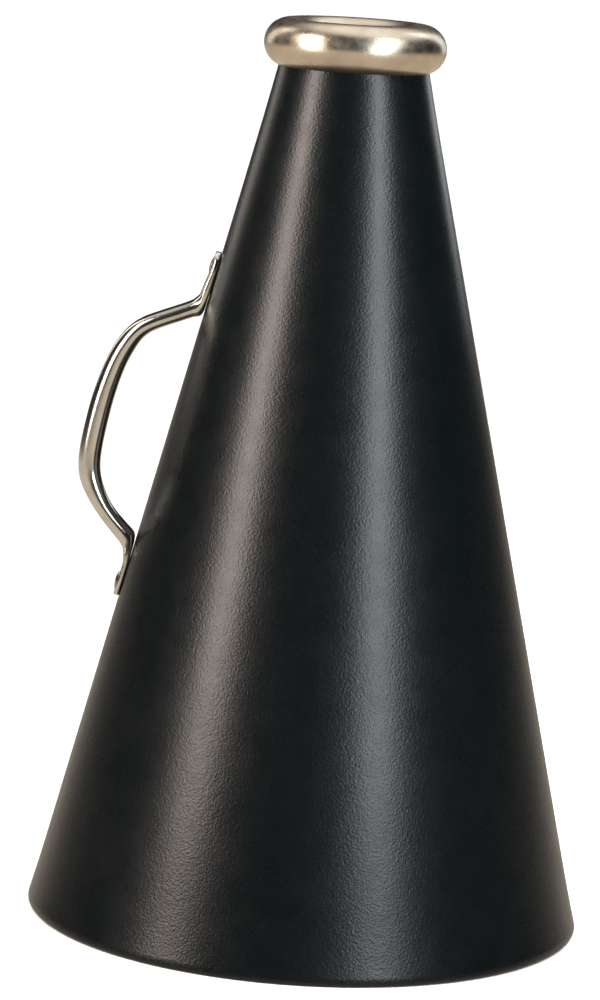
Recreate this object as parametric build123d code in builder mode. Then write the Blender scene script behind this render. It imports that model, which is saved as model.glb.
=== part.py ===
from build123d import *
import os
from math import asin, atan2, cos, pi, sin

# Passive handheld megaphone: a rolled sheet-steel cone with a wired bell edge, a hollow nickel ring
# round the mouth end and a bent-tube handle riveted to one side. Millimetres.
# The origin is on the cone's axis, in the plane of the bell edge. +Z runs up the axis to the mouth,
# and the handle is on the -X side.

# Overall sizes
overall_height = 400.0  # bell edge to the top of the mouth ring
bell_radius = 123.25  # outside of the bell edge
neck_radius = 33.2  # outside of the neck where it enters the mouth ring

# Cone sheet
sheet = 0.6
flare_height = 31.0  # the foot of the straight taper opens out over this height,
flare_width = 7.4  # and by this much in radius
neck_height = 34.0  # the top of the straight taper eases into the neck over this height,
neck_width = 7.8  # and by this much in radius
seam_width = 9.0  # lap of the sheet's two edges, on the +Y side
seam_end_gap = 5.0  # the lap is dressed flush this far from each end of the wall

# Bell edge
wire_radius = 1.5  # stiffening wire inside the curl
land_depth = 0.25  # the curl is flattened this deep, where the megaphone stands on it

# Mouth ring and the joint under it
ring_tube_radius = 10.75
ring_inset = 4.0  # the middle of the ring's round section is this far inside the neck's outside
ring_wall = 0.9
throat_land = 3.0  # height of the straight wall in the throat, between the section's inner bends
spigot_height = 7.0  # the neck goes on this far up, inside the ring
neck_lip = 2.5  # turned-out edge that keeps the ring on the neck
ferrule_wall = 0.8
ferrule_height = 28.0  # sleeve inside the neck, under the spigot's top

# Handle
tube_radius = 4.9
tube_wall = 1.1
upper_rivet_z = 288.5
upper_elbow_z = 271.4
shoulder_z = 259.1
grip_z = 225.9
heel_z = 189.4
lower_elbow_z = 163.0
lower_rivet_z = 145.5
shoulder_reach = 29.2  # from the cone's side to the tube's centre line, at each height
grip_reach = 34.0
heel_reach = 29.4
shoulder_bend = 25.0
grip_bend = 140.0
heel_bend = 32.0
press_length = 20.0  # the round tube starts to flatten this far from each elbow
# Each stage of the pressing: share of press_length left to the elbow, and share of the full flatness
press_stages = ((1.0, 0.0), (0.8, 0.2), (0.55, 0.3), (0.25, 0.37), (0.1, 0.55), (0.0, 0.85))
elbow_lead = 5.0  # a lug is at its full flatness this far past its elbow

# Rivets
rivet_radius = 2.0
rivet_head_radius = 4.2
rivet_head_height = 0.9
rivet_tail_radius = 3.2
rivet_tail_height = 1.2
burr_radius = 4.6
burr_thickness = 0.8

# Places that follow from the sizes above
bead_radius = wire_radius + sheet
bead_z = bead_radius - land_depth
bead_centre_radius = bell_radius - bead_radius
ring_radius = neck_radius - ring_inset
throat_bend = ring_tube_radius - throat_land / 2
throat_radius = ring_radius - throat_bend
ring_z = overall_height - ring_tube_radius
ring_bottom_z = ring_z - ring_tube_radius
spigot_top_z = ring_bottom_z + spigot_height
ferrule_foot_z = spigot_top_z - ferrule_height
taper_foot = (bell_radius - flare_width, flare_height)
taper_top = (neck_radius + neck_width, ring_bottom_z - neck_height)
taper_slope = (taper_foot[0] - taper_top[0]) / (taper_top[1] - taper_foot[1])
lug_thickness = 2 * tube_wall  # the tube's two walls, pressed together,
lug_width = pi * (tube_radius - tube_wall / 2)  # and its middle line laid flat
beyond = bell_radius * 2  # longer than any wall it has to cut through


def cone_radius(z):
    """Outside radius of the straight taper, or of its line carried on, at height z."""
    return taper_foot[0] - taper_slope * (z - taper_foot[1])


def seat_plane(z, stand_off=0.0):
    """Plane on the handle side of the taper at height z, its normal out of the cone, its x up it."""
    tilt = atan2(taper_slope, 1)
    normal = Vector(-cos(tilt), 0, sin(tilt))
    origin = Vector(-cone_radius(z), 0, z) + normal * stand_off
    return Plane(origin=origin, x_dir=(sin(tilt), 0, cos(tilt)), z_dir=normal)


def wall_line(shift):
    """Draw the cone wall's outer line, moved out by shift, from the bell edge to the spigot's top."""
    flare_z = (bead_z + taper_foot[1]) / 2
    neck_z = (ring_bottom_z + taper_top[1]) / 2
    foot = (taper_foot[0] + shift, taper_foot[1])
    top = (taper_top[0] + shift, taper_top[1])
    Bezier((bell_radius + shift, bead_z), (cone_radius(flare_z) + shift, flare_z), foot)
    Line(foot, top)
    Bezier(top, (cone_radius(neck_z) + shift, neck_z), (neck_radius + shift, ring_bottom_z))
    Line((neck_radius + shift, ring_bottom_z), (neck_radius + shift, spigot_top_z))


def wall_face(inner_shift, outer_shift):
    """Section of the cone's wall between two wall lines, as a sketch to add to a section."""
    with BuildSketch() as wall:
        with BuildLine():
            wall_line(inner_shift)
            wall_line(outer_shift)
            Line((bell_radius + inner_shift, bead_z), (bell_radius + outer_shift, bead_z))
            Line((neck_radius + inner_shift, spigot_top_z), (neck_radius + outer_shift, spigot_top_z))
        make_face()
    return wall.sketch


def space_within(shift):
    """Everything inside a wall line, as one solid to cut or shape other pieces with."""
    with BuildPart() as space:
        with BuildSketch(Plane.XZ):
            with BuildLine():
                wall_line(shift)
                Polyline(
                    (neck_radius + shift, spigot_top_z),
                    (0, spigot_top_z),
                    (0, bead_z),
                    (bell_radius + shift, bead_z),
                )
            make_face()
        revolve(axis=Axis.Z)
    return space.part


# The lap: the sheet's outer edge lies one thickness proud of the wall
with BuildPart() as lap_strip:
    with BuildSketch(Plane.XZ):
        add(wall_face(-sheet / 2, sheet))
        lap_z = (bead_z + seam_end_gap, ring_bottom_z - seam_end_gap)
        with Locations((0, sum(lap_z) / 2)):
            Rectangle(beyond * 2, lap_z[1] - lap_z[0], mode=Mode.INTERSECT)
    revolve(axis=Axis.Z)
    with Locations((0, beyond / 2, overall_height / 2)):
        Box(seam_width, beyond, overall_height, mode=Mode.INTERSECT)

with BuildPart() as cone_shell:
    with BuildSketch(Plane.XZ):
        add(wall_face(-sheet, 0))
        with Locations((neck_radius - sheet, spigot_top_z)):
            Rectangle(sheet + neck_lip, sheet, align=(Align.MIN, Align.MAX))
        with Locations((bead_centre_radius, bead_z)):
            Circle(bead_radius)
            Circle(wire_radius, mode=Mode.SUBTRACT)
        Rectangle(beyond, bead_radius, align=(Align.MIN, Align.MAX), mode=Mode.SUBTRACT)
    revolve(axis=Axis.Z)
    add(lap_strip.part)
    for rivet_z in (upper_rivet_z, lower_rivet_z):
        with BuildSketch(seat_plane(rivet_z)):
            Circle(rivet_radius)
        extrude(amount=lug_width, both=True, mode=Mode.SUBTRACT)

with BuildPart() as rim_wire:
    with BuildSketch(Plane.XZ):
        with Locations((bead_centre_radius, bead_z)):
            Circle(wire_radius)
    revolve(axis=Axis.Z)

with BuildPart() as neck_ferrule:
    with BuildSketch(Plane.XZ):
        add(wall_face(-sheet - ferrule_wall, -sheet))
        with Locations((0, ferrule_foot_z)):
            Rectangle(beyond, ferrule_height, align=(Align.MIN, Align.MIN), mode=Mode.INTERSECT)
    revolve(axis=Axis.Z)

with BuildPart() as mouth_ring:
    with BuildSketch(Plane.XZ):
        with BuildLine():
            CenterArc((ring_radius, ring_z), ring_tube_radius, -90, 180)
            CenterArc((ring_radius, ring_z + throat_land / 2), throat_bend, 90, 90)
            Line((throat_radius, ring_z + throat_land / 2), (throat_radius, ring_z - throat_land / 2))
            CenterArc((ring_radius, ring_z - throat_land / 2), throat_bend, 180, 90)
        make_face()
        offset(amount=-ring_wall, mode=Mode.SUBTRACT)
        with Locations((neck_radius, ring_bottom_z)):
            Rectangle(sheet + ferrule_wall, spigot_height, align=(Align.MAX, Align.MIN), mode=Mode.SUBTRACT)
    revolve(axis=Axis.Z)

# The handle's centre line: along each lug, round its elbow, and out over the grip
upper_seat = seat_plane(upper_rivet_z, lug_thickness / 2)
lower_seat = seat_plane(lower_rivet_z, lug_thickness / 2)
upper_elbow = seat_plane(upper_elbow_z, lug_thickness / 2).origin
lower_elbow = seat_plane(lower_elbow_z, lug_thickness / 2).origin
shoulder = Vector(-cone_radius(shoulder_z) - shoulder_reach, 0, shoulder_z)
grip = Vector(-cone_radius(grip_z) - grip_reach, 0, grip_z)
heel = Vector(-cone_radius(heel_z) - heel_reach, 0, heel_z)
upper_run = (shoulder - upper_elbow).normalized()
lower_run = (heel - lower_elbow).normalized()
upper_start = upper_elbow + upper_run * press_length
lower_start = lower_elbow + lower_run * press_length


def across(point, direction):
    """Plane across the handle's centre line, its x along the megaphone's Y."""
    return Plane(origin=point, x_dir=(0, 1, 0), z_dir=direction)


def pressed_sections(elbow, run, seat, towards_tip):
    """Sections of one end of the tube, from round, through the elbow, to the flat lug."""
    along = seat.x_dir * towards_tip
    stations = [(elbow + run * press_length * left, run * -1, flat) for left, flat in press_stages[:-1]]
    stations.append((elbow, along - run, press_stages[-1][1]))
    stations.append((elbow + along * elbow_lead, along, 1.0))
    sections = []
    for point, direction, flat in stations:
        width = 2 * tube_radius + (lug_width - 2 * tube_radius) * flat
        thickness = 2 * tube_radius + (lug_thickness - 2 * tube_radius) * flat
        with BuildSketch(across(point, direction)) as section:
            RectangleRounded(width, thickness, thickness * 0.499)
        sections.append(section.sketch)
    return sections


with BuildPart() as handle:
    with BuildLine() as grip_line:
        FilletPolyline(
            upper_start, shoulder, grip, heel, lower_start, radius=[shoulder_bend, grip_bend, heel_bend]
        )
    with BuildSketch(across(upper_start, upper_run)):
        Circle(tube_radius)
    sweep(path=grip_line.wires()[0])
    loft(pressed_sections(upper_elbow, upper_run, upper_seat, 1), ruled=True)
    loft(pressed_sections(lower_elbow, lower_run, lower_seat, -1), ruled=True)
    for rivet_z, elbow, away in (
        (upper_rivet_z, upper_elbow, Align.MAX),
        (lower_rivet_z, lower_elbow, Align.MIN),
    ):
        seat = seat_plane(rivet_z)
        lug_length = (elbow - seat_plane(rivet_z, lug_thickness / 2).origin).length - elbow_lead
        with BuildSketch(seat):
            Circle(lug_width / 2)
            Rectangle(lug_length, lug_width, align=(away, Align.CENTER))
        extrude(amount=lug_thickness)
        with BuildSketch(seat):
            Circle(lug_width / 2)
            Rectangle(lug_length, lug_width, align=(away, Align.CENTER))
        extrude(amount=-lug_thickness)
        with BuildSketch(seat):
            Circle(rivet_radius)
        extrude(amount=lug_width, both=True, mode=Mode.SUBTRACT)
    add(space_within(0), mode=Mode.SUBTRACT)
    with BuildSketch(across(upper_start, upper_run)):
        Circle(tube_radius - tube_wall)
    sweep(path=grip_line.wires()[0], mode=Mode.SUBTRACT)


def dome_shoulder(base_radius, height):
    """Point halfway along a spherical dome's outline, from its axis and from its base."""
    ball_radius = (base_radius**2 + height**2) / (2 * height)
    half_angle = asin(base_radius / ball_radius) / 2
    return ball_radius * sin(half_angle), ball_radius * (cos(half_angle) - 1) + height


with BuildPart() as handle_rivets:
    for rivet_z in (upper_rivet_z, lower_rivet_z):
        seat = seat_plane(rivet_z)
        inside = -sheet - burr_thickness
        with BuildSketch(Plane(origin=seat.origin, x_dir=seat.x_dir, z_dir=(0, -1, 0))):
            with BuildLine():
                head_side, head_rise = dome_shoulder(rivet_head_radius, rivet_head_height)
                head = ThreePointArc(
                    (0, lug_thickness + rivet_head_height),
                    (head_side, lug_thickness + head_rise),
                    (rivet_head_radius, lug_thickness),
                )
                tail_side, tail_rise = dome_shoulder(rivet_tail_radius, rivet_tail_height)
                tail = ThreePointArc(
                    (rivet_tail_radius, inside),
                    (tail_side, inside - tail_rise),
                    (0, inside - rivet_tail_height),
                )
                Polyline(head @ 1, (rivet_radius, lug_thickness), (rivet_radius, inside), tail @ 0)
                Line(tail @ 1, head @ 0)
            make_face()
        revolve(axis=Axis(seat.origin, seat.z_dir))

with BuildPart() as rivet_burrs:
    for rivet_z in (upper_rivet_z, lower_rivet_z):
        with BuildSketch(seat_plane(rivet_z, -sheet - burr_thickness)):
            Circle(burr_radius)
            Circle(rivet_radius, mode=Mode.SUBTRACT)
        extrude(amount=burr_thickness + sheet / 2)
    add(space_within(-sheet), mode=Mode.INTERSECT)

cone_shell.part.label = "cone_shell"
rim_wire.part.label = "rim_wire"
neck_ferrule.part.label = "neck_ferrule"
mouth_ring.part.label = "mouth_ring"
handle.part.label = "handle"
handle_rivets.part.label = "handle_rivets"
rivet_burrs.part.label = "rivet_burrs"

os.makedirs("parts", exist_ok=True)
export_step(cone_shell.part, "parts/cone_shell.step")
export_step(rim_wire.part, "parts/rim_wire.step")
export_step(neck_ferrule.part, "parts/neck_ferrule.step")
export_step(mouth_ring.part, "parts/mouth_ring.step")
export_step(handle.part, "parts/handle.step")
export_step(handle_rivets.part, "parts/handle_rivets.step")
export_step(rivet_burrs.part, "parts/rivet_burrs.step")
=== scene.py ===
"""Handheld speaking megaphone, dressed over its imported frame.

A black powder-coated cone of sheet steel, a hollow satin-nickel ring round the mouth end and a bright
nickel tube handle riveted to one side. Places are in the frame's own axes: +Z runs up the cone's axis
from the bell edge to the mouth, and the handle is on the -X side. Lengths are in metres, apart from those
of the handle and the rivets, which are in millimetres until their meshes are made.
"""

import logging
import math
from dataclasses import dataclass, field
from enum import Enum
from typing import Iterable, Sequence

import bmesh
import bpy
from mathutils import Matrix, Vector


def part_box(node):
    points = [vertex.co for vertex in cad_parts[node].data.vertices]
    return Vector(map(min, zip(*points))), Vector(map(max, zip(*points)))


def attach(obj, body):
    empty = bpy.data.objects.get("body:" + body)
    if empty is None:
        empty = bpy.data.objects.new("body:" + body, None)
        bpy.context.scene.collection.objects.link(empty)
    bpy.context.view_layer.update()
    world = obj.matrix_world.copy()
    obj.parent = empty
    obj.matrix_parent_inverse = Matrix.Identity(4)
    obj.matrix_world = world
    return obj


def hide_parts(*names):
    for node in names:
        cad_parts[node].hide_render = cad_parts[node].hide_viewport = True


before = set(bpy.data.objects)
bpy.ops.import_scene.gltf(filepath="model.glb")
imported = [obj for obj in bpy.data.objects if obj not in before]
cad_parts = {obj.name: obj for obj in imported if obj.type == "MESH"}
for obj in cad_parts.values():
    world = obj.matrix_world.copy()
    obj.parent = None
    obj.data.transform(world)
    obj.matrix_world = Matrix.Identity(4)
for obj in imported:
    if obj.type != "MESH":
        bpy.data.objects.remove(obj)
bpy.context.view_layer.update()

log = logging.getLogger("megaphone")

MM = 0.001
TURN = 2 * math.pi
GRAIN = "grain"
MOST_OF_NOISE = (0.3, 0.7)

Piece = bpy.types.Object
Socket = bpy.types.NodeSocket
Colour = tuple[float, float, float]
Place = tuple[float, float, float]
Span = tuple[float, float]
SectionPoint = tuple[float, float]


class Slot(Enum):
    """The record's material slots."""

    POWDER_COAT = "black_powder_coat"
    SATIN_NICKEL = "satin_nickel"
    BRIGHT_NICKEL = "bright_nickel"
    PLAIN_STEEL = "steel_wire"


# Finishes
# --------


class NodeTable:
    """Lays out the nodes of one material or world."""

    def __init__(self, tree: bpy.types.NodeTree) -> None:
        """Start from an empty tree."""
        self.tree = tree
        self.tree.nodes.clear()

    def node(self, kind: str, **settings: object) -> bpy.types.Node:
        """Add a node and set its own properties.

        Args:
            kind: the node's class name.
            settings: properties of the node, by name.

        Returns:
            The new node.
        """
        made = self.tree.nodes.new(kind)
        for name, value in settings.items():
            setattr(made, name, value)
        return made

    def link(self, source: Socket, target: Socket) -> None:
        """Join an output socket to an input socket."""
        self.tree.links.new(source, target)

    def place(self) -> Socket:
        """Object coordinates, in metres."""
        return self.node("ShaderNodeTexCoord").outputs["Object"]

    def noise(self, vector: Socket, scale: float, detail: float = 2.0) -> Socket:
        """Cloudy noise.

        Args:
            vector: where the noise is read.
            scale: features per metre, roughly.
            detail: finer layers on top of the first.

        Returns:
            The noise's value, from 0 to 1.
        """
        made = self.node("ShaderNodeTexNoise")
        made.inputs["Scale"].default_value = scale
        made.inputs["Detail"].default_value = detail
        self.link(vector, made.inputs["Vector"])
        return made.outputs["Fac"]

    def spread(
        self,
        value: Socket,
        span: Span,
        onto: Span = (0.0, 1.0),
    ) -> Socket:
        """Map a stretch of a value onto another stretch, and clamp it there.

        Args:
            value: the value.
            span: where its stretch starts and ends.
            onto: what that start and that end become.

        Returns:
            The mapped value.
        """
        made = self.node("ShaderNodeMapRange")
        self.link(value, made.inputs["Value"])
        names = ("From Min", "From Max", "To Min", "To Max")
        for name, number in zip(names, (*span, *onto)):
            made.inputs[name].default_value = number
        return made.outputs["Result"]

    def blend(
        self,
        share: Socket,
        first: Sequence[float] | Socket,
        second: Sequence[float] | Socket,
    ) -> Socket:
        """Mix two colours.

        Args:
            share: 0 for the first colour, 1 for the second.
            first: a colour or a socket.
            second: a colour or a socket.

        Returns:
            The mixed colour.
        """
        made = self.node("ShaderNodeMix", data_type="RGBA")
        self.link(share, made.inputs[0])
        for colour, socket in ((first, made.inputs[6]), (second, made.inputs[7])):
            if isinstance(colour, Socket):
                self.link(colour, socket)
            else:
                socket.default_value = (*colour, 1.0)
        return made.outputs[2]

    def sum_of(
        self, first: Socket, share: float, second: Socket
    ) -> Socket:
        """Add a share of one value to another.

        Args:
            first: the value that only counts by its share.
            share: how much of it is added.
            second: the value that it is added to.

        Returns:
            The sum.
        """
        made = self.node("ShaderNodeMath", operation="MULTIPLY_ADD")
        self.link(first, made.inputs[0])
        made.inputs[1].default_value = share
        self.link(second, made.inputs[2])
        return made.outputs[0]

    def relief(
        self,
        height: Socket,
        depth: float,
        strength: float = 1.0,
        under: Socket | None = None,
    ) -> Socket:
        """Bump a surface.

        Args:
            height: the relief, 0 to 1.
            depth: the height of its highest points, in metres.
            strength: how much of the bump shows.
            under: the normal of a coarser relief that this one lies on.

        Returns:
            The bumped normal.
        """
        made = self.node("ShaderNodeBump")
        made.inputs["Strength"].default_value = strength
        made.inputs["Distance"].default_value = depth
        self.link(height, made.inputs["Height"])
        if under is not None:
            self.link(under, made.inputs["Normal"])
        return made.outputs["Normal"]


class Finish:
    """A surface finish, which makes its material once."""

    title: str = "finish"

    def material(self) -> bpy.types.Material:
        """Make the finish's material, the first time that it is asked for.

        Returns:
            The material, which later calls find again by its title.
        """
        found = bpy.data.materials.get(self.title)
        if found is not None:
            return found
        made = bpy.data.materials.new(self.title)
        made.use_nodes = True
        table = NodeTable(made.node_tree)
        output = table.node("ShaderNodeOutputMaterial")
        shader = table.node("ShaderNodeBsdfPrincipled")
        table.link(shader.outputs["BSDF"], output.inputs["Surface"])
        self.dress(table, shader)
        return made

    def dress(self, table: NodeTable, shader: bpy.types.Node) -> None:
        """Set the shader's colour, gloss and relief.

        Args:
            table: the material's nodes.
            shader: its surface shader.
        """
        raise NotImplementedError


@dataclass(frozen=True)
class PowderCoat(Finish):
    """Satin black powder coat: a fine pebble on a slow swell, with a painted highlight on its crowns."""

    title: str = "pebbled_powder_coat"
    colour: Colour = (0.0012, 0.0026, 0.0032)
    worn_colour: Colour = (0.0022, 0.0034, 0.0038)
    worn_per_metre: float = 34.0
    worn_span: Span = (0.45, 0.75)
    pebble_highlight_colour: Colour = (0.0034, 0.0046, 0.0050)
    pebble_highlight_span: Span = (0.55, 0.75)
    roughness: Span = (0.26, 0.30)
    patches_per_metre: float = 85.0
    pebbles_per_metre: float = 1000.0
    pebble_depth: float = 0.00015
    pebble_strength: float = 0.6
    swells_per_metre: float = 260.0
    swell_depth: float = 0.00006
    swell_strength: float = 0.35
    ior: float = 1.5
    specular: float = 0.42

    def dress(self, table: NodeTable, shader: bpy.types.Node) -> None:
        """Set the shader's colour, gloss and relief.

        Args:
            table: the material's nodes.
            shader: its surface shader.
        """
        place = table.place()
        worn = table.spread(table.noise(place, self.worn_per_metre, 4.0), self.worn_span)
        colour = table.blend(worn, self.colour, self.worn_colour)
        pebbles = table.noise(place, self.pebbles_per_metre, 1.0)
        # Painted highlight: the pebbles' crowns are painted paler, in place of the glint that light gives
        # them.
        colour = table.blend(table.spread(pebbles, self.pebble_highlight_span), colour, self.pebble_highlight_colour)
        table.link(colour, shader.inputs["Base Color"])
        patches = table.noise(place, self.patches_per_metre, 3.0)
        table.link(table.spread(patches, MOST_OF_NOISE, self.roughness), shader.inputs["Roughness"])
        swells = table.noise(place, self.swells_per_metre, 1.0)
        swell = table.relief(swells, self.swell_depth, self.swell_strength)
        pebble = table.relief(pebbles, self.pebble_depth, self.pebble_strength, under=swell)
        table.link(pebble, shader.inputs["Normal"])
        shader.inputs["IOR"].default_value = self.ior
        shader.inputs["Specular IOR Level"].default_value = self.specular


@dataclass(frozen=True)
class SatinNickel(Finish):
    """Warm satin nickel plate on a spun ring, with a soft grain, faint turning lines and pits."""

    title: str = "turned_satin_nickel"
    colour: Colour = (0.70, 0.61, 0.495)
    dull_colour: Colour = (0.54, 0.455, 0.36)
    dull_per_metre: float = 60.0
    dull_span: Span = (0.4, 0.7)
    pit_colour: Colour = (0.16, 0.12, 0.09)
    pits_per_metre: float = 900.0
    pit_span: Span = (0.77, 0.82)
    pit_share: float = 0.55
    roughness: Span = (0.24, 0.33)
    patches_per_metre: float = 240.0
    grain_per_metre: float = 1100.0
    grain_depth: float = 0.00003
    grain_strength: float = 0.6
    lines_per_metre: float = 2600.0
    line_depth: float = 0.000006
    line_strength: float = 0.7

    @staticmethod
    def turned_place(table: NodeTable, place: Socket) -> Socket:
        """Reach from the axis and height up it, where a pattern runs round the ring in lines.

        Args:
            table: the material's nodes.
            place: the place on the ring.

        Returns:
            A vector of the reach and the height.
        """
        apart = table.node("ShaderNodeSeparateXYZ")
        table.link(place, apart.inputs["Vector"])
        level = table.node("ShaderNodeCombineXYZ")
        for axis in ("X", "Y"):
            table.link(apart.outputs[axis], level.inputs[axis])
        reach = table.node("ShaderNodeVectorMath", operation="LENGTH")
        table.link(level.outputs["Vector"], reach.inputs[0])
        turned = table.node("ShaderNodeCombineXYZ")
        table.link(reach.outputs["Value"], turned.inputs["X"])
        table.link(apart.outputs["Z"], turned.inputs["Y"])
        return turned.outputs["Vector"]

    def dress(self, table: NodeTable, shader: bpy.types.Node) -> None:
        """Set the shader's colour, gloss and relief.

        Args:
            table: the material's nodes.
            shader: its surface shader.
        """
        place = table.place()
        dull = table.spread(table.noise(place, self.dull_per_metre, 5.0), self.dull_span)
        colour = table.blend(dull, self.colour, self.dull_colour)
        pits = table.noise(place, self.pits_per_metre, 1.0)
        pitted = table.spread(pits, self.pit_span, (0.0, self.pit_share))
        table.link(table.blend(pitted, colour, self.pit_colour), shader.inputs["Base Color"])
        patches = table.noise(place, self.patches_per_metre, 4.0)
        table.link(table.spread(patches, MOST_OF_NOISE, self.roughness), shader.inputs["Roughness"])
        grain = table.noise(place, self.grain_per_metre, 2.0)
        soft = table.relief(grain, self.grain_depth, self.grain_strength)
        turning = table.noise(self.turned_place(table, place), self.lines_per_metre, 1.0)
        lines = table.relief(turning, self.line_depth, self.line_strength, under=soft)
        table.link(lines, shader.inputs["Normal"])
        shader.inputs["Metallic"].default_value = 1.0


@dataclass(frozen=True)
class BrightNickel(Finish):
    """Bright nickel plate on drawn tube, polished lengthwise."""

    title: str = "polished_bright_nickel"
    colour: Colour = (0.74, 0.72, 0.66)
    dull_colour: Colour = (0.60, 0.57, 0.50)
    dull_per_metre: float = 120.0
    dull_span: Span = (0.45, 0.75)
    roughness: Span = (0.13, 0.21)
    streak_scale: float = 9.0
    streak_depth: float = 0.000010
    streak_strength: float = 0.8

    def dress(self, table: NodeTable, shader: bpy.types.Node) -> None:
        """Set the shader's colour, gloss and relief.

        Args:
            table: the material's nodes.
            shader: its surface shader.
        """
        grain = table.node("ShaderNodeAttribute", attribute_name=GRAIN)
        streaks = table.noise(grain.outputs["Vector"], self.streak_scale, 3.0)
        dull = table.spread(table.noise(table.place(), self.dull_per_metre, 4.0), self.dull_span)
        table.link(table.blend(dull, self.colour, self.dull_colour), shader.inputs["Base Color"])
        table.link(table.spread(streaks, MOST_OF_NOISE, self.roughness), shader.inputs["Roughness"])
        polish = table.relief(streaks, self.streak_depth, self.streak_strength)
        table.link(polish, shader.inputs["Normal"])
        shader.inputs["Metallic"].default_value = 1.0


@dataclass(frozen=True)
class PlainSteel(Finish):
    """Plain drawn steel, slightly dulled."""

    title: str = "dulled_plain_steel"
    colour: Colour = (0.50, 0.50, 0.49)
    dull_colour: Colour = (0.30, 0.29, 0.275)
    dull_per_metre: float = 260.0
    dull_span: Span = (0.4, 0.65)
    roughness: Span = (0.26, 0.44)
    scratches_per_metre: float = 1800.0
    scratch_depth: float = 0.00001

    def dress(self, table: NodeTable, shader: bpy.types.Node) -> None:
        """Set the shader's colour, gloss and relief.

        Args:
            table: the material's nodes.
            shader: its surface shader.
        """
        place = table.place()
        clouds = table.noise(place, self.dull_per_metre, 5.0)
        dull = table.spread(clouds, self.dull_span)
        table.link(table.blend(dull, self.colour, self.dull_colour), shader.inputs["Base Color"])
        table.link(table.spread(clouds, MOST_OF_NOISE, self.roughness), shader.inputs["Roughness"])
        scratches = table.noise(place, self.scratches_per_metre, 2.0)
        table.link(table.relief(scratches, self.scratch_depth), shader.inputs["Normal"])
        shader.inputs["Metallic"].default_value = 1.0


@dataclass(frozen=True)
class PaleFloor(Finish):
    """Matt off-white studio floor."""

    title: str = "pale_floor"
    colour: Colour = (0.94, 0.935, 0.925)
    shade: Colour = (0.92, 0.915, 0.905)
    clouds_per_metre: float = 3.0
    roughness: float = 0.85
    specular: float = 0.2

    def dress(self, table: NodeTable, shader: bpy.types.Node) -> None:
        """Set the shader's colour and gloss.

        Args:
            table: the material's nodes.
            shader: its surface shader.
        """
        clouds = table.noise(table.place(), self.clouds_per_metre)
        table.link(table.blend(clouds, self.colour, self.shade), shader.inputs["Base Color"])
        shader.inputs["Roughness"].default_value = self.roughness
        shader.inputs["Specular IOR Level"].default_value = self.specular


# Bench work: what every piece is shaped with
# -------------------------------------------


class Bench:
    """The modelling steps that the pieces share."""

    @staticmethod
    def clear() -> None:
        """Leave edit mode and deselect every object."""
        if bpy.context.object is not None and bpy.context.object.mode != "OBJECT":
            bpy.ops.object.mode_set(mode="OBJECT")
        bpy.ops.object.select_all(action="DESELECT")

    @staticmethod
    def take(piece: Piece) -> None:
        """Make a piece the only one selected.

        Args:
            piece: the piece.
        """
        Bench.clear()
        piece.select_set(True)
        bpy.context.view_layer.objects.active = piece

    @staticmethod
    def apply(piece: Piece, kind: str, **settings: object) -> None:
        """Add a modifier to a piece and apply it.

        Args:
            piece: the piece.
            kind: the modifier's type.
            settings: its properties, by name.
        """
        Bench.take(piece)
        modifier = piece.modifiers.new(kind.lower(), kind)
        for name, value in settings.items():
            setattr(modifier, name, value)
        bpy.ops.object.modifier_apply(modifier=modifier.name)

    @staticmethod
    def turn_up(name: str, section: Sequence[SectionPoint], around: int) -> Piece:
        """Raise a turned piece ring by ring, from its section.

        Args:
            name: the piece's name.
            section: (radius, height) of each ring in order. A section that ends where it starts makes
                a closed wall; one that starts and ends near the axis gets a face at each end.
            around: the number of faces round each ring.

        Returns:
            The piece, its faces pointing outwards.
        """
        Bench.clear()
        radius, height = section[0]
        bpy.ops.mesh.primitive_circle_add(vertices=around, radius=radius, location=(0, 0, height))
        piece = bpy.context.object
        piece.name = piece.data.name = name
        closed = math.dist(section[0], section[-1]) < 1e-7
        bpy.ops.object.mode_set(mode="EDIT")
        if not closed:
            bpy.ops.mesh.edge_face_add()
        for next_radius, next_height in section[1:]:
            bpy.ops.mesh.extrude_edges_move(
                TRANSFORM_OT_translate={"value": (0, 0, next_height - height)}
            )
            grow = next_radius / radius
            bpy.ops.transform.resize(value=(grow, grow, 1), center_override=(0, 0, next_height))
            radius, height = next_radius, next_height
        if not closed:
            bpy.ops.mesh.edge_face_add()
        bpy.ops.mesh.select_all(action="SELECT")
        bpy.ops.mesh.remove_doubles(threshold=1e-6)
        bpy.ops.mesh.normals_make_consistent(inside=False)
        bpy.ops.object.mode_set(mode="OBJECT")
        Bench.settle(piece)
        return piece

    @staticmethod
    def settle(piece: Piece) -> None:
        """Put a piece's place into its mesh, so that its object sits at the origin."""
        Bench.take(piece)
        bpy.ops.object.transform_apply(location=True, rotation=True, scale=True)

    @staticmethod
    def smooth(piece: Piece, degrees: float = 35.0) -> None:
        """Shade a piece smooth, apart from edges sharper than an angle."""
        Bench.take(piece)
        bpy.ops.object.shade_smooth_by_angle(angle=math.radians(degrees))

    @staticmethod
    def fit_out(piece: Piece, finish: Finish, slot: Slot, nodes: Iterable[str] = ()) -> None:
        """Give a piece its finish, its body and the frame nodes it stands for.

        Args:
            piece: the piece.
            finish: its finish.
            slot: the record's slot that the finish belongs to; not used.
            nodes: the frame's nodes that it replaces.
        """
        piece.data.materials.clear()
        piece.data.materials.append(finish.material())
        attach(piece, "root")
        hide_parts(*nodes)
        log.info("%s: %d faces", piece.name, len(piece.data.polygons))


def arc(centre: SectionPoint, radius: float, start: float, end: float, steps: int) -> list[SectionPoint]:
    """Points along an arc of a section.

    Args:
        centre: (radius, height) of the arc's centre.
        radius: the arc's own radius.
        start: angle of its first point, in degrees from the +r direction.
        end: angle of its last point.
        steps: the number of chords.

    Returns:
        steps + 1 points.
    """
    angles = [math.radians(start + (end - start) * i / steps) for i in range(steps + 1)]
    return [(centre[0] + radius * math.cos(a), centre[1] + radius * math.sin(a)) for a in angles]


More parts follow.
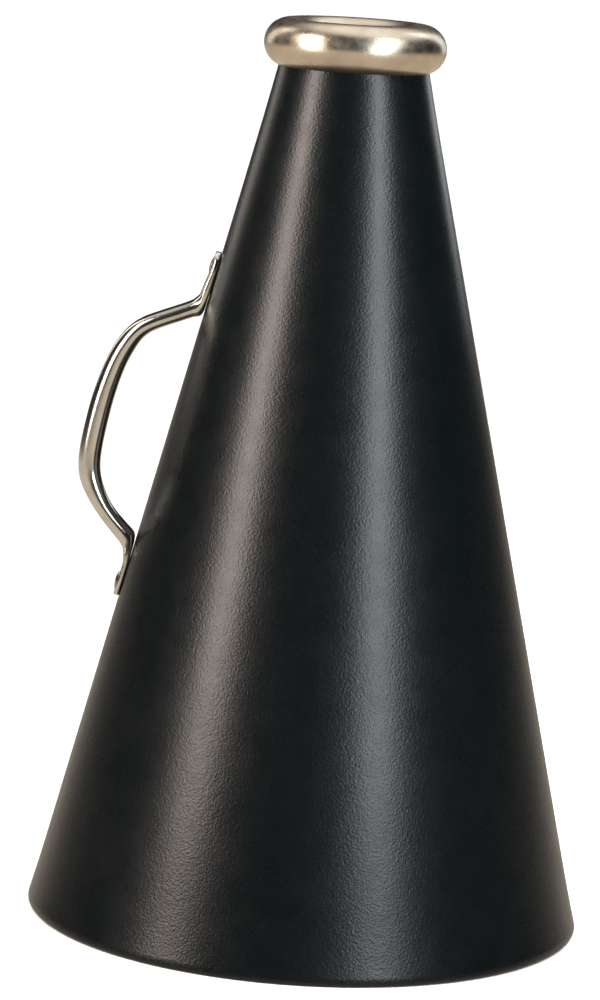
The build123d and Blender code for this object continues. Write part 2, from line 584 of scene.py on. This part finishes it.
def bow(first: SectionPoint, pull: SectionPoint, last: SectionPoint, steps: int) -> list[SectionPoint]:
    """Points along a section's easy curve.

    Args:
        first: its first point.
        pull: the point that it is pulled towards, where its end tangents meet.
        last: its last point.
        steps: the number of chords.

    Returns:
        steps + 1 points.
    """
    points = []
    for i in range(steps + 1):
        t = i / steps
        points.append(
            tuple(
                (1 - t) ** 2 * a + 2 * t * (1 - t) * b + t**2 * c for a, b, c in zip(first, pull, last)
            )
        )
    return points


# The cone
# --------


@dataclass
class SoundingCone:
    """The rolled sheet cone, its wired bell edge and the lap seam on its far side.

    Attributes:
        curl_top: the inner wall starts above this height, where the curl ends.
        curl_end: where the curl ends round its wire, in degrees from the outward direction.
    """

    finish: PowderCoat
    neck_radius: float = 33.2 * MM
    sheet: float = 0.6 * MM
    flare_height: float = 31.0 * MM
    flare_width: float = 7.4 * MM
    neck_height: float = 34.0 * MM
    neck_width: float = 7.8 * MM
    neck_lip: float = 2.5 * MM
    bead_radius: float = 2.1 * MM
    bead_height: float = 1.85 * MM
    curl_top: float = 3.9 * MM
    curl_end: float = -295.0
    seam_width: float = 9.0 * MM
    seam_end_gap: float = 5.0 * MM
    seam_edge: float = 0.22 * MM
    around: int = 256
    bend_steps: int = 12
    taper_steps: int = 16
    bell_radius: float = field(init=False)
    spigot_top: float = field(init=False)
    ring_bottom: float = field(init=False)

    def __post_init__(self) -> None:
        """Read the sizes that the frame settles."""
        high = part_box("cone_shell")[1]
        self.bell_radius = high.x
        self.spigot_top = high.z
        self.ring_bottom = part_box("mouth_ring")[0].z

    @property
    def foot(self) -> SectionPoint:
        """Bottom of the straight taper, as (radius, height)."""
        return self.bell_radius - self.flare_width, self.flare_height

    @property
    def top(self) -> SectionPoint:
        """Top of the straight taper, as (radius, height)."""
        return self.neck_radius + self.neck_width, self.ring_bottom - self.neck_height

    @property
    def slope(self) -> float:
        """Radius lost for each metre climbed along the straight taper."""
        return (self.foot[0] - self.top[0]) / (self.top[1] - self.foot[1])

    def radius_at(self, height: float) -> float:
        """Outside radius of the straight taper, or of its line carried on."""
        return self.foot[0] - self.slope * (height - self.foot[1])

    def wall_down(self, shift: float) -> list[SectionPoint]:
        """The wall's outer line, from the spigot's top down to the bell edge.

        Args:
            shift: how far the line is moved out.

        Returns:
            The line's points.
        """
        neck_pull = (self.ring_bottom + self.top[1]) / 2
        flare_pull = (self.bead_height + self.foot[1]) / 2
        climb = self.top[1] - self.foot[1]
        heights = [self.top[1] - climb * i / self.taper_steps for i in range(1, self.taper_steps)]
        neck = (self.neck_radius, self.ring_bottom)
        edge = (self.bell_radius, self.bead_height)
        line = [(self.neck_radius, self.spigot_top)]
        line += bow(neck, (self.radius_at(neck_pull), neck_pull), self.top, self.bend_steps)
        line += [(self.radius_at(height), height) for height in heights]
        line += bow(self.foot, (self.radius_at(flare_pull), flare_pull), edge, self.bend_steps)
        return [(radius + shift, height) for radius, height in line]

    def build_shell(self) -> Piece:
        """Turn the sheet: down the outside, round the curl and back up the inside.

        Returns:
            The shell as one closed wall.
        """
        bead = (self.bell_radius - self.bead_radius, self.bead_height)
        flat = math.degrees(math.asin(self.bead_height / self.bead_radius))
        inner = [point for point in reversed(self.wall_down(-self.sheet)) if point[1] > self.curl_top]
        lip_radius = self.neck_radius + self.neck_lip
        section = [
            (lip_radius, self.spigot_top),
            (lip_radius, self.spigot_top - self.sheet),
            (self.neck_radius, self.spigot_top - self.sheet),
        ]
        section += self.wall_down(0.0)[1:-1]
        section += arc(bead, self.bead_radius, 0.0, -flat, 6)
        section += arc(bead, self.bead_radius, flat - 180.0, self.curl_end, 16)
        section += inner
        section.append(section[0])
        return Bench.turn_up("sounding_cone", section, self.around)

    def build_seam(self) -> Piece:
        """Turn a shell one sheet proud of the wall, and keep the narrow strip where the edges lap.

        Returns:
            The seam as a closed strip.
        """
        low = self.bead_height + self.seam_end_gap
        high = self.ring_bottom - self.seam_end_gap
        outer = [p for p in self.wall_down(self.sheet) if low < p[1] < high]
        inner = [p for p in reversed(self.wall_down(-self.sheet / 2)) if low < p[1] < high]
        strip = Bench.turn_up("lap_seam", [*outer, *inner, outer[0]], self.around)
        Bench.take(strip)
        bpy.ops.object.mode_set(mode="EDIT")
        for side in (1, -1):
            bpy.ops.mesh.select_all(action="SELECT")
            bpy.ops.mesh.bisect(
                plane_co=(side * self.seam_width / 2, 0, 0),
                plane_no=(side, 0, 0),
                clear_outer=True,
                use_fill=True,
            )
        bpy.ops.mesh.select_all(action="SELECT")
        bpy.ops.mesh.bisect(plane_co=(0, 0, 0), plane_no=(0, -1, 0), clear_outer=True)
        bpy.ops.mesh.select_all(action="SELECT")
        bpy.ops.mesh.normals_make_consistent(inside=False)
        bpy.ops.object.mode_set(mode="OBJECT")
        Bench.apply(
            strip,
            "BEVEL",
            width=self.seam_edge,
            segments=2,
            limit_method="ANGLE",
            angle_limit=math.radians(50),
        )
        return strip

    def build(self) -> None:
        """Build and fit out the cone and its seam."""
        shell = self.build_shell()
        Bench.smooth(shell, 40.0)
        Bench.fit_out(shell, self.finish, Slot.POWDER_COAT, ["cone_shell"])
        seam = self.build_seam()
        Bench.smooth(seam, 40.0)
        Bench.fit_out(seam, self.finish, Slot.POWDER_COAT)


# The mouth ring
# --------------


@dataclass
class MouthRing:
    """The hollow spun ring that sits on the neck."""

    finish: SatinNickel
    wall: float = 0.9 * MM
    throat_land: float = 3.0 * MM
    slot_outside: float = 33.2 * MM
    slot_inside: float = 31.8 * MM
    around: int = 224
    outside_steps: int = 30
    throat_steps: int = 14

    def section(self) -> list[SectionPoint]:
        """The ring's wall: round the outer skin, through the neck's slot and back round the inner.

        Returns:
            The closed section.
        """
        low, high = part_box("mouth_ring")
        tube = (high.z - low.z) / 2
        middle = (high.x - tube, (high.z + low.z) / 2)
        upper = (middle[0], middle[1] + self.throat_land / 2)
        lower = (middle[0], middle[1] - self.throat_land / 2)
        bend = tube - self.throat_land / 2

        def skin(inset: float) -> list[SectionPoint]:
            """One skin of the wall, from the slot's outer side round to its inner side.

            Args:
                inset: how far it lies inside the ring's surface.

            Returns:
                The skin's points.
            """
            radius = tube - inset
            starts = -math.degrees(math.acos((self.slot_outside - middle[0]) / radius))
            ends = -math.degrees(math.acos((self.slot_inside - middle[0]) / radius))
            run = arc(middle, radius, starts, 90.0, self.outside_steps)
            run += arc(upper, bend - inset, 90.0, 180.0, self.throat_steps)[1:]
            run += arc(lower, bend - inset, 180.0, 270.0, self.throat_steps)
            run += arc(middle, radius, -90.0, ends, 2)[1:]
            return run

        outer = skin(0.0)
        return [*outer, *reversed(skin(self.wall)), outer[0]]

    def build(self) -> None:
        """Build and fit out the ring."""
        ring = Bench.turn_up("mouth_ring_spun", self.section(), self.around)
        Bench.smooth(ring, 50.0)
        Bench.fit_out(ring, self.finish, Slot.SATIN_NICKEL, ["mouth_ring"])


# The handle
# ----------


@dataclass(frozen=True)
class TubeStation:
    """One section of the handle's tube, in millimetres.

    Attributes:
        outer: (x, z) of the section's edge away from the cone.
        inner: (x, z) of its edge towards the cone.
        width: its width along Y.
        flat: 0 where the tube is round, 1 where it is pressed flat.
        hug: radius of the cone that a pressed section wraps, or 0.
    """

    outer: tuple[float, float]
    inner: tuple[float, float]
    width: float
    flat: float = 0.0
    hug: float = 0.0


@dataclass
class GripHandle:
    """The bent tube handle, its two ends pressed flat and riveted to the cone.

    Attributes:
        upper_rivet: height of the upper rivet on the cone, in millimetres, as all its lengths are.
        upper_heel: the upper lug's thickness where it leaves the elbow.
        heel_span: how far before the rivet a lug leaves the elbow, and where half its change of
            thickness is done.
        tip_angles: where the sections of a lug's round tip lie, in degrees.
        tip_share: a tip section narrower than this share of the lug is thinned.
        tip_thinning: the share of the thickness that is left there.
        swell: what the sections are enlarged by, because smoothing draws them in.
        squareness: how far the corners of a flat section are squared up.
        grain_stretch: how the polishing lines are stretched along the tube.
        run: the tube's sections from the upper elbow to the lower.
    """

    finish: BrightNickel
    cone: SoundingCone
    around: int = 24
    lug_thickness: float = 2.7
    lug_width: float = 13.7
    upper_rivet: float = 288.5
    lower_rivet: float = 145.5
    upper_heel: float = 3.7
    lower_heel: float = 2.5
    heel_span: Span = (8.2, 4.8)
    tip_angles: tuple[int, ...] = (0, 22, 40, 55, 67, 76, 83)
    tip_share: float = 0.3
    tip_thinning: float = 0.86
    swell: float = 1.0115
    squareness: float = 0.55
    grain_stretch: float = 6.0
    run: tuple[TubeStation, ...] = (
        TubeStation((-60.95, 278.0), (-57.30, 276.8), 13.7, 1.0, 55.0),
        TubeStation((-61.25, 276.9), (-57.95, 274.0), 13.5, 0.85, 56.0),
        TubeStation((-61.60, 276.2), (-58.55, 271.2), 13.1, 0.6, 70.0),
        TubeStation((-62.20, 275.5), (-59.40, 268.3), 12.7, 0.45),
        TubeStation((-63.20, 274.6), (-60.90, 266.2), 12.4, 0.36),
        TubeStation((-64.90, 273.2), (-63.00, 266.4), 12.2, 0.3),
        TubeStation((-71.20, 270.7), (-68.60, 263.9), 12.1, 0.27),
        TubeStation((-78.10, 268.0), (-75.50, 261.3), 12.0, 0.25),
        TubeStation((-84.10, 265.6), (-80.90, 258.9), 11.7, 0.2),
        TubeStation((-88.70, 263.1), (-84.50, 256.3), 11.3, 0.12),
        TubeStation((-92.30, 259.9), (-86.90, 253.3), 10.9, 0.06),
        TubeStation((-95.40, 256.0), (-88.80, 249.9), 10.6, 0.0),
        TubeStation((-98.30, 251.3), (-90.60, 246.4), 10.3, 0.0),
        TubeStation((-100.9, 245.9), (-92.30, 242.6), 10.1, 0.0),
        TubeStation((-103.4, 239.1), (-94.40, 236.5), 10.0, 0.0),
        TubeStation((-106.4, 229.3), (-96.90, 227.3), 9.9, 0.0),
        TubeStation((-108.4, 220.0), (-98.70, 218.3), 9.8, 0.0),
        TubeStation((-110.1, 211.0), (-100.2, 209.7), 9.8, 0.0),
        TubeStation((-111.1, 203.4), (-101.1, 202.9), 9.8, 0.0),
        TubeStation((-111.3, 197.4), (-101.3, 198.2), 9.8, 0.0),
        TubeStation((-110.8, 192.9), (-101.1, 194.7), 9.9, 0.0),
        TubeStation((-109.5, 188.7), (-100.5, 191.5), 10.3, 0.05),
        TubeStation((-107.6, 184.7), (-99.40, 188.2), 10.8, 0.1),
        TubeStation((-105.2, 180.7), (-97.90, 184.6), 11.3, 0.15),
        TubeStation((-102.3, 176.6), (-96.00, 180.8), 11.7, 0.2),
        TubeStation((-98.90, 172.2), (-93.00, 176.8), 11.9, 0.24),
        TubeStation((-95.10, 167.9), (-89.30, 172.9), 12.0, 0.27),
        TubeStation((-92.50, 165.1), (-86.60, 170.2), 12.1, 0.3),
        TubeStation((-91.00, 163.4), (-84.20, 167.9), 12.3, 0.36),
        TubeStation((-90.05, 162.0), (-84.10, 165.3), 12.6, 0.45),
        TubeStation((-89.50, 161.0), (-84.55, 162.6), 13.0, 0.6, 110.0),
        TubeStation((-89.20, 159.7), (-85.15, 160.0), 13.4, 0.85, 88.0),
        TubeStation((-89.10, 158.0), (-85.80, 157.4), 13.7, 1.0, 86.0),
    )

    def seat(self, height: float, stand_off: float) -> tuple[float, float]:
        """Point off the cone's handle side, in millimetres.

        Args:
            height: height on the cone, in millimetres.
            stand_off: distance out from the cone.

        Returns:
            (x, z).
        """
        tilt = math.atan(self.cone.slope)
        radius = self.cone.radius_at(height * MM) / MM
        return -radius - stand_off * math.cos(tilt), height + stand_off * math.sin(tilt)

    def lug(self, rivet: float, away: int, heel: float) -> list[TubeStation]:
        """Sections of one lug, from the elbow to its rounded tip.

        Args:
            rivet: height of its rivet on the cone.
            away: 1 for the upper lug, which runs up, and -1 for the lower.
            heel: its thickness where it leaves the elbow.

        Returns:
            The sections in order.
        """
        half = self.lug_width / 2
        radius = self.cone.radius_at(rivet * MM) / MM
        far, near = self.heel_span
        steps = [(-far, 1.0, heel), (-near, 1.0, (heel + self.lug_thickness) / 2)]
        steps += [
            (half * math.sin(math.radians(a)), math.cos(math.radians(a)), self.lug_thickness)
            for a in self.tip_angles
        ]
        stations = []
        for along, share, thick in steps:
            height = rivet + away * along * math.cos(math.atan(self.cone.slope))
            thin = thick * (1.0 if share > self.tip_share else self.tip_thinning)
            middle = thick / 2
            stations.append(
                TubeStation(
                    self.seat(height, middle + thin / 2),
                    self.seat(height, middle - thin / 2),
                    self.lug_width * share,
                    1.0,
                    radius,
                )
            )
        return stations

    def stations(self) -> list[TubeStation]:
        """Every section of the handle, in order.

        Returns:
            The sections from the upper lug's tip to the lower lug's.
        """
        upper = self.lug(self.upper_rivet, 1, self.upper_heel)
        lower = self.lug(self.lower_rivet, -1, self.lower_heel)
        return [*reversed(upper), *self.run, *lower]

    def ring(self, station: TubeStation) -> list[Vector]:
        """Where the corners of one section lie, in metres.

        Args:
            station: the section.

        Returns:
            One point for each corner, in order round the tube.
        """
        outer, inner = Vector(station.outer), Vector(station.inner)
        middle = (outer + inner) / 2
        across = outer - inner
        out = across.normalized()
        power = 1.0 - self.squareness * station.flat
        points = []
        for i in range(self.around):
            angle = TURN * i / self.around
            c, s = math.cos(angle), math.sin(angle)
            u = math.copysign(abs(c) ** power, c) * across.length / 2
            w = math.copysign(abs(s) ** power, s) * station.width / 2
            u *= 1.0 + (self.swell - 1.0) * (1.0 - station.flat)
            w *= self.swell
            if station.hug:
                u -= station.flat * w * w / (2 * station.hug)
            at = middle + out * u
            points.append(Vector((at.x, w, at.y)) * MM)
        return points

    def build_tube(self) -> Piece:
        """Draw the tube out section by section, press each to its shape, and close the tips.

        Returns:
            The handle as one closed skin.
        """
        stations = self.stations()
        Bench.clear()
        first = self.ring(stations[0])
        centre = sum(first, Vector()) / len(first)
        bpy.ops.mesh.primitive_circle_add(
            vertices=self.around, radius=self.lug_width / 2 * MM, location=centre
        )
        tube = bpy.context.object
        tube.name = tube.data.name = "grip_handle"
        Bench.settle(tube)
        bpy.ops.object.mode_set(mode="EDIT")
        bpy.ops.mesh.select_all(action="SELECT")
        bpy.ops.mesh.edge_face_add()
        self.press(tube, first)
        lengths = [0.0]
        for before, station in zip(stations, stations[1:]):
            step = self.middle(station) - self.middle(before)
            lengths.append(lengths[-1] + step.length)
            bpy.ops.mesh.extrude_edges_move(TRANSFORM_OT_translate={"value": step})
            self.press(tube, self.ring(station))
        bpy.ops.mesh.edge_face_add()
        bpy.ops.mesh.select_all(action="SELECT")
        bpy.ops.mesh.normals_make_consistent(inside=False)
        bpy.ops.object.mode_set(mode="OBJECT")
        self.lay_grain(tube, lengths)
        Bench.apply(tube, "SUBSURF", levels=2, render_levels=2)
        return tube

    @staticmethod
    def middle(station: TubeStation) -> Vector:
        """Middle of a section, in metres."""
        at = (Vector(station.outer) + Vector(station.inner)) / 2 * MM
        return Vector((at.x, 0, at.y))

    @staticmethod
    def press(tube: Piece, points: Sequence[Vector]) -> None:
        """Press the selected ring to its section, corner by corner.

        Args:
            tube: the handle, in edit mode.
            points: where the ring's corners go.
        """
        mesh = bmesh.from_edit_mesh(tube.data)
        mesh.verts.ensure_lookup_table()
        chosen = sorted((v for v in mesh.verts if v.select), key=lambda v: v.index)
        for vert, point in zip(chosen, points):
            vert.co = point
        bmesh.update_edit_mesh(tube.data)

    def lay_grain(self, tube: Piece, lengths: Sequence[float]) -> None:
        """Note on each corner where it is round the tube and along it, for the polishing lines.

        Args:
            tube: the handle before it is smoothed.
            lengths: distance along the tube of each ring, in the order of the mesh.
        """
        grain = tube.data.attributes.new(GRAIN, "FLOAT_VECTOR", "POINT")
        for vert in tube.data.vertices:
            ring, corner = divmod(vert.index, self.around)
            angle = TURN * corner / self.around
            along = lengths[ring] * self.grain_stretch
            grain.data[vert.index].vector = (math.cos(angle), math.sin(angle), along)

    def build(self) -> None:
        """Build and fit out the handle."""
        tube = self.build_tube()
        Bench.smooth(tube, 60.0)
        Bench.fit_out(tube, self.finish, Slot.BRIGHT_NICKEL, ["handle"])


@dataclass
class Rivets:
    """The two rivets that hold the handle: domed head, shank and closed-over tail, in millimetres.

    Attributes:
        seat_gap: how far the head stands off the lug.
        rim_height: height of the head's straight rim.
        dome_share: how much of head_rise the dome over the rim takes.
        head_sink: how far the underside of the head drops towards the shank, into the lug.
        inside: how far inside the cone's surface the tail starts.
        dome_shares: where a dome's rings lie, as shares of its reach.
    """

    finish: BrightNickel
    handle: GripHandle
    head_radius: float = 4.2
    head_rise: float = 0.9
    shank_radius: float = 2.0
    tail_radius: float = 3.2
    tail_rise: float = 1.2
    inside: float = 1.4
    seat_gap: float = 0.02
    rim_height: float = 0.18
    dome_share: float = 0.82
    head_sink: float = 0.1
    dome_shares: tuple[float, ...] = (0.08, 0.25, 0.45, 0.65, 0.82, 0.93, 1.0)
    around: int = 48

    def dome(self, radius: float, rise: float) -> list[SectionPoint]:
        """A low dome's outline.

        Args:
            radius: the dome's radius at its rim.
            rise: how high it stands over its rim.

        Returns:
            (radius, height over its rim) from near its top to its rim.
        """
        ball = (radius**2 + rise**2) / (2 * rise)
        reach = math.asin(radius / ball)
        angles = [reach * share for share in self.dome_shares]
        return [(ball * math.sin(a), ball * (math.cos(a) - 1) + rise) for a in angles]

    def section(self) -> list[SectionPoint]:
        """The rivet's outline, down from the head's top.

        Returns:
            (radius, height off the cone), in metres.
        """
        lug_top = self.handle.lug_thickness + self.seat_gap
        rim = lug_top + self.rim_height
        head = [(r, rim + h * self.dome_share) for r, h in self.dome(self.head_radius, self.head_rise)]
        tail = self.dome(self.tail_radius, self.tail_rise)
        points = [
            *head,
            (self.head_radius, lug_top),
            (self.shank_radius, lug_top - self.head_sink),
            (self.shank_radius, -self.inside),
            *((r, -self.inside - h) for r, h in reversed(tail)),
        ]
        return [(r * MM, h * MM) for r, h in points]

    def build_at(self, name: str, height: float) -> None:
        """Build one rivet, square to the cone at a height.

        Args:
            name: the rivet's name.
            height: its height on the cone, in millimetres.
        """
        rivet = Bench.turn_up(name, self.section(), self.around)
        foot = self.handle.seat(height, 0.0)
        tilt = math.atan(self.handle.cone.slope)
        lean = Matrix.Rotation(-(math.pi / 2 - tilt), 4, "Y")
        rivet.matrix_world = Matrix.Translation(Vector((foot[0], 0, foot[1])) * MM) @ lean
        Bench.settle(rivet)
        Bench.smooth(rivet, 50.0)
        Bench.fit_out(rivet, self.finish, Slot.BRIGHT_NICKEL, ["handle_rivets"])

    def build(self) -> None:
        """Build both rivets."""
        self.build_at("upper_rivet", self.handle.upper_rivet)
        self.build_at("lower_rivet", self.handle.lower_rivet)


# The frame's own nodes that stay in view
# ---------------------------------------


@dataclass
class InnerFittings:
    """The sleeve in the neck, the wire in the curl and the burrs, which keep the frame's shapes."""

    sleeve: SatinNickel
    steel: PlainSteel

    def build(self) -> None:
        """Give each node its finish."""
        for name, finish in (
            ("neck_ferrule", self.sleeve),
            ("rim_wire", self.steel),
            ("rivet_burrs", self.steel),
        ):
            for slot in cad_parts[name].material_slots:
                slot.material = finish.material()
            log.info("%s: dressed", name)


# The studio
# ----------


@dataclass(frozen=True)
class Softbox:
    """A long soft light with a straight spine.

    Attributes:
        name: its name.
        low_end: bottom of its spine.
        high_end: top of its spine.
        width: its width across the spine.
        radiance: how bright its face is.
        colour: its colour.
    """

    name: str
    low_end: Place
    high_end: Place
    width: float
    radiance: float
    colour: Colour

    def build(self, aim: Vector) -> None:
        """Put up the light.

        Args:
            aim: the point that its face is turned to.
        """
        low, high = Vector(self.low_end), Vector(self.high_end)
        spine = (high - low).normalized()
        middle = (low + high) / 2
        facing = middle - aim
        facing = (facing - spine * facing.dot(spine)).normalized()
        data = bpy.data.lights.new(self.name, "AREA")
        data.shape = "RECTANGLE"
        data.size, data.size_y = self.width, (high - low).length
        data.energy = self.radiance * math.pi * data.size * data.size_y
        data.color = self.colour
        light = bpy.data.objects.new(self.name, data)
        bpy.context.scene.collection.objects.link(light)
        turn = Matrix((spine.cross(facing), spine, facing)).transposed().to_4x4()
        light.matrix_world = Matrix.Translation(middle) @ turn
        light.visible_camera = False


@dataclass
class Studio:
    """Floor, lights, surroundings and camera.

    Attributes:
        back_weight: how far the bright part overhead reaches down at the back.
        right_weight: how far it reaches down on the right.
        above_span: height of a direction where the bright part starts, and where it is full.
        below_span: height of a direction where the pale part below starts, and where it is full.
        backdrop: what the camera sees behind everything.
    """

    floor: PaleFloor
    floor_radius: float = 14.0
    floor_sides: int = 96
    camera_distance: float = 1.8353
    camera_height: float = 0.5027
    yaw: float = -0.00650
    pitch: float = -0.17027
    roll: float = 0.06177
    lens: float = 150.985
    sensor: float = 36.0
    aim: Place = (0.0, 0.0, 0.2)
    sky_light: float = 2.5
    sky_spread: float = 100.0
    dark_room: Colour = (0.018, 0.021, 0.021)
    pale_below: Colour = (0.66, 0.575, 0.475)
    bright_above: Colour = (1.25, 1.21, 1.16)
    backdrop: Colour = (0.98, 0.98, 0.98)
    back_weight: float = 0.25
    right_weight: float = 0.16
    above_span: Span = (0.72, 0.96)
    below_span: Span = (-0.02, -0.17)
    boxes: tuple[Softbox, ...] = (
        Softbox("left_core", (-1.00, -0.73, 0.22), (-0.81, -0.28, 1.20), 0.20, 14.0, (1.0, 0.87, 0.79)),
        Softbox("left_wing", (-1.00, -0.73, 0.22), (-0.81, -0.28, 1.20), 0.42, 5.0, (1.0, 0.87, 0.79)),
        Softbox("right_core", (0.60, -1.07, 0.22), (0.65, -0.39, 1.38), 0.20, 9.5, (0.92, 0.98, 1.0)),
        Softbox("right_wing", (0.60, -1.07, 0.22), (0.65, -0.39, 1.38), 0.40, 4.2, (0.92, 0.98, 1.0)),
        Softbox("back_left", (-0.85, 0.95, 0.30), (-0.75, 0.40, 1.20), 0.30, 1.6, (1.0, 0.92, 0.85)),
        Softbox("back_right", (0.62, 1.10, 0.30), (0.62, 0.45, 1.25), 0.30, 1.6, (0.94, 0.98, 1.0)),
    )

    def build_floor(self) -> None:
        """Lay the floor, a disc that shows in no reflection."""
        Bench.clear()
        bpy.ops.mesh.primitive_circle_add(
            vertices=self.floor_sides, radius=self.floor_radius, fill_type="NGON", location=(0, 0, 0)
        )
        ground = bpy.context.object
        ground.name = ground.data.name = "studio_floor"
        ground.data.materials.append(self.floor.material())
        ground.visible_glossy = False

    def build_surroundings(self) -> None:
        """Bright overhead, pale below and dark between, so that the gloss has something to show."""
        world = bpy.data.worlds.new("studio")
        world.use_nodes = True
        bpy.context.scene.world = world
        table = NodeTable(world.node_tree)
        output = table.node("ShaderNodeOutputWorld")
        direction = table.node("ShaderNodeTexCoord").outputs["Generated"]
        apart = table.node("ShaderNodeSeparateXYZ")
        table.link(direction, apart.inputs["Vector"])
        height = table.sum_of(apart.outputs["Y"], self.back_weight, apart.outputs["Z"])
        height = table.sum_of(apart.outputs["X"], self.right_weight, height)
        overhead = table.spread(height, self.above_span)
        below = table.spread(apart.outputs["Z"], self.below_span)
        room = table.blend(below, self.dark_room, self.pale_below)
        room = table.blend(overhead, room, self.bright_above)
        lit = table.node("ShaderNodeBackground")
        table.link(room, lit.inputs["Color"])
        lit.inputs["Strength"].default_value = 1.0
        plain = table.node("ShaderNodeBackground")
        plain.inputs["Color"].default_value = (*self.backdrop, 1.0)
        seen = table.node("ShaderNodeLightPath")
        mixed = table.node("ShaderNodeMixShader")
        table.link(seen.outputs["Is Camera Ray"], mixed.inputs["Fac"])
        table.link(lit.outputs["Background"], mixed.inputs[1])
        table.link(plain.outputs["Background"], mixed.inputs[2])
        table.link(mixed.outputs["Shader"], output.inputs["Surface"])

    def build_camera(self) -> None:
        """Put the camera in front of the cone, a little above it and leaning slightly."""
        forward = Vector(
            (
                math.sin(self.yaw) * math.cos(self.pitch),
                math.cos(self.yaw) * math.cos(self.pitch),
                math.sin(self.pitch),
            )
        )
        level = Vector((math.cos(self.yaw), -math.sin(self.yaw), 0))
        upright = level.cross(forward)
        right = level * math.cos(self.roll) + upright * math.sin(self.roll)
        up = upright * math.cos(self.roll) - level * math.sin(self.roll)
        data = bpy.data.cameras.new("camera")
        data.lens = self.lens
        data.sensor_width = self.sensor
        data.dof.use_dof = False
        camera = bpy.data.objects.new("camera", data)
        bpy.context.scene.collection.objects.link(camera)
        turn = Matrix((right, up, -forward)).transposed().to_4x4()
        place = Vector((0, -self.camera_distance, self.camera_height))
        camera.matrix_world = Matrix.Translation(place) @ turn
        bpy.context.scene.camera = camera

    def build_sky_light(self) -> None:
        """Light the floor evenly from overhead, without a reflection in the gloss."""
        data = bpy.data.lights.new("sky_light", "SUN")
        data.energy = self.sky_light
        data.angle = math.radians(self.sky_spread)
        light = bpy.data.objects.new("sky_light", data)
        bpy.context.scene.collection.objects.link(light)
        light.visible_glossy = False

    def build(self) -> None:
        """Set up the whole studio."""
        self.build_floor()
        self.build_surroundings()
        self.build_sky_light()
        for box in self.boxes:
            box.build(Vector(self.aim))
        self.build_camera()
        bpy.context.scene.view_settings.view_transform = "Standard"
        log.info("studio: %d softboxes and a sky light", len(self.boxes))


def main() -> None:
    """Build the megaphone and the studio round it."""
    logging.basicConfig(level=logging.INFO, format="%(name)s %(message)s")
    powder_coat = PowderCoat()
    satin = SatinNickel()
    bright = BrightNickel()
    cone = SoundingCone(powder_coat)
    cone.build()
    MouthRing(satin).build()
    handle = GripHandle(bright, cone)
    handle.build()
    Rivets(bright, handle).build()
    InnerFittings(satin, PlainSteel()).build()
    Studio(PaleFloor()).build()


if __name__ == "__main__":
    main()
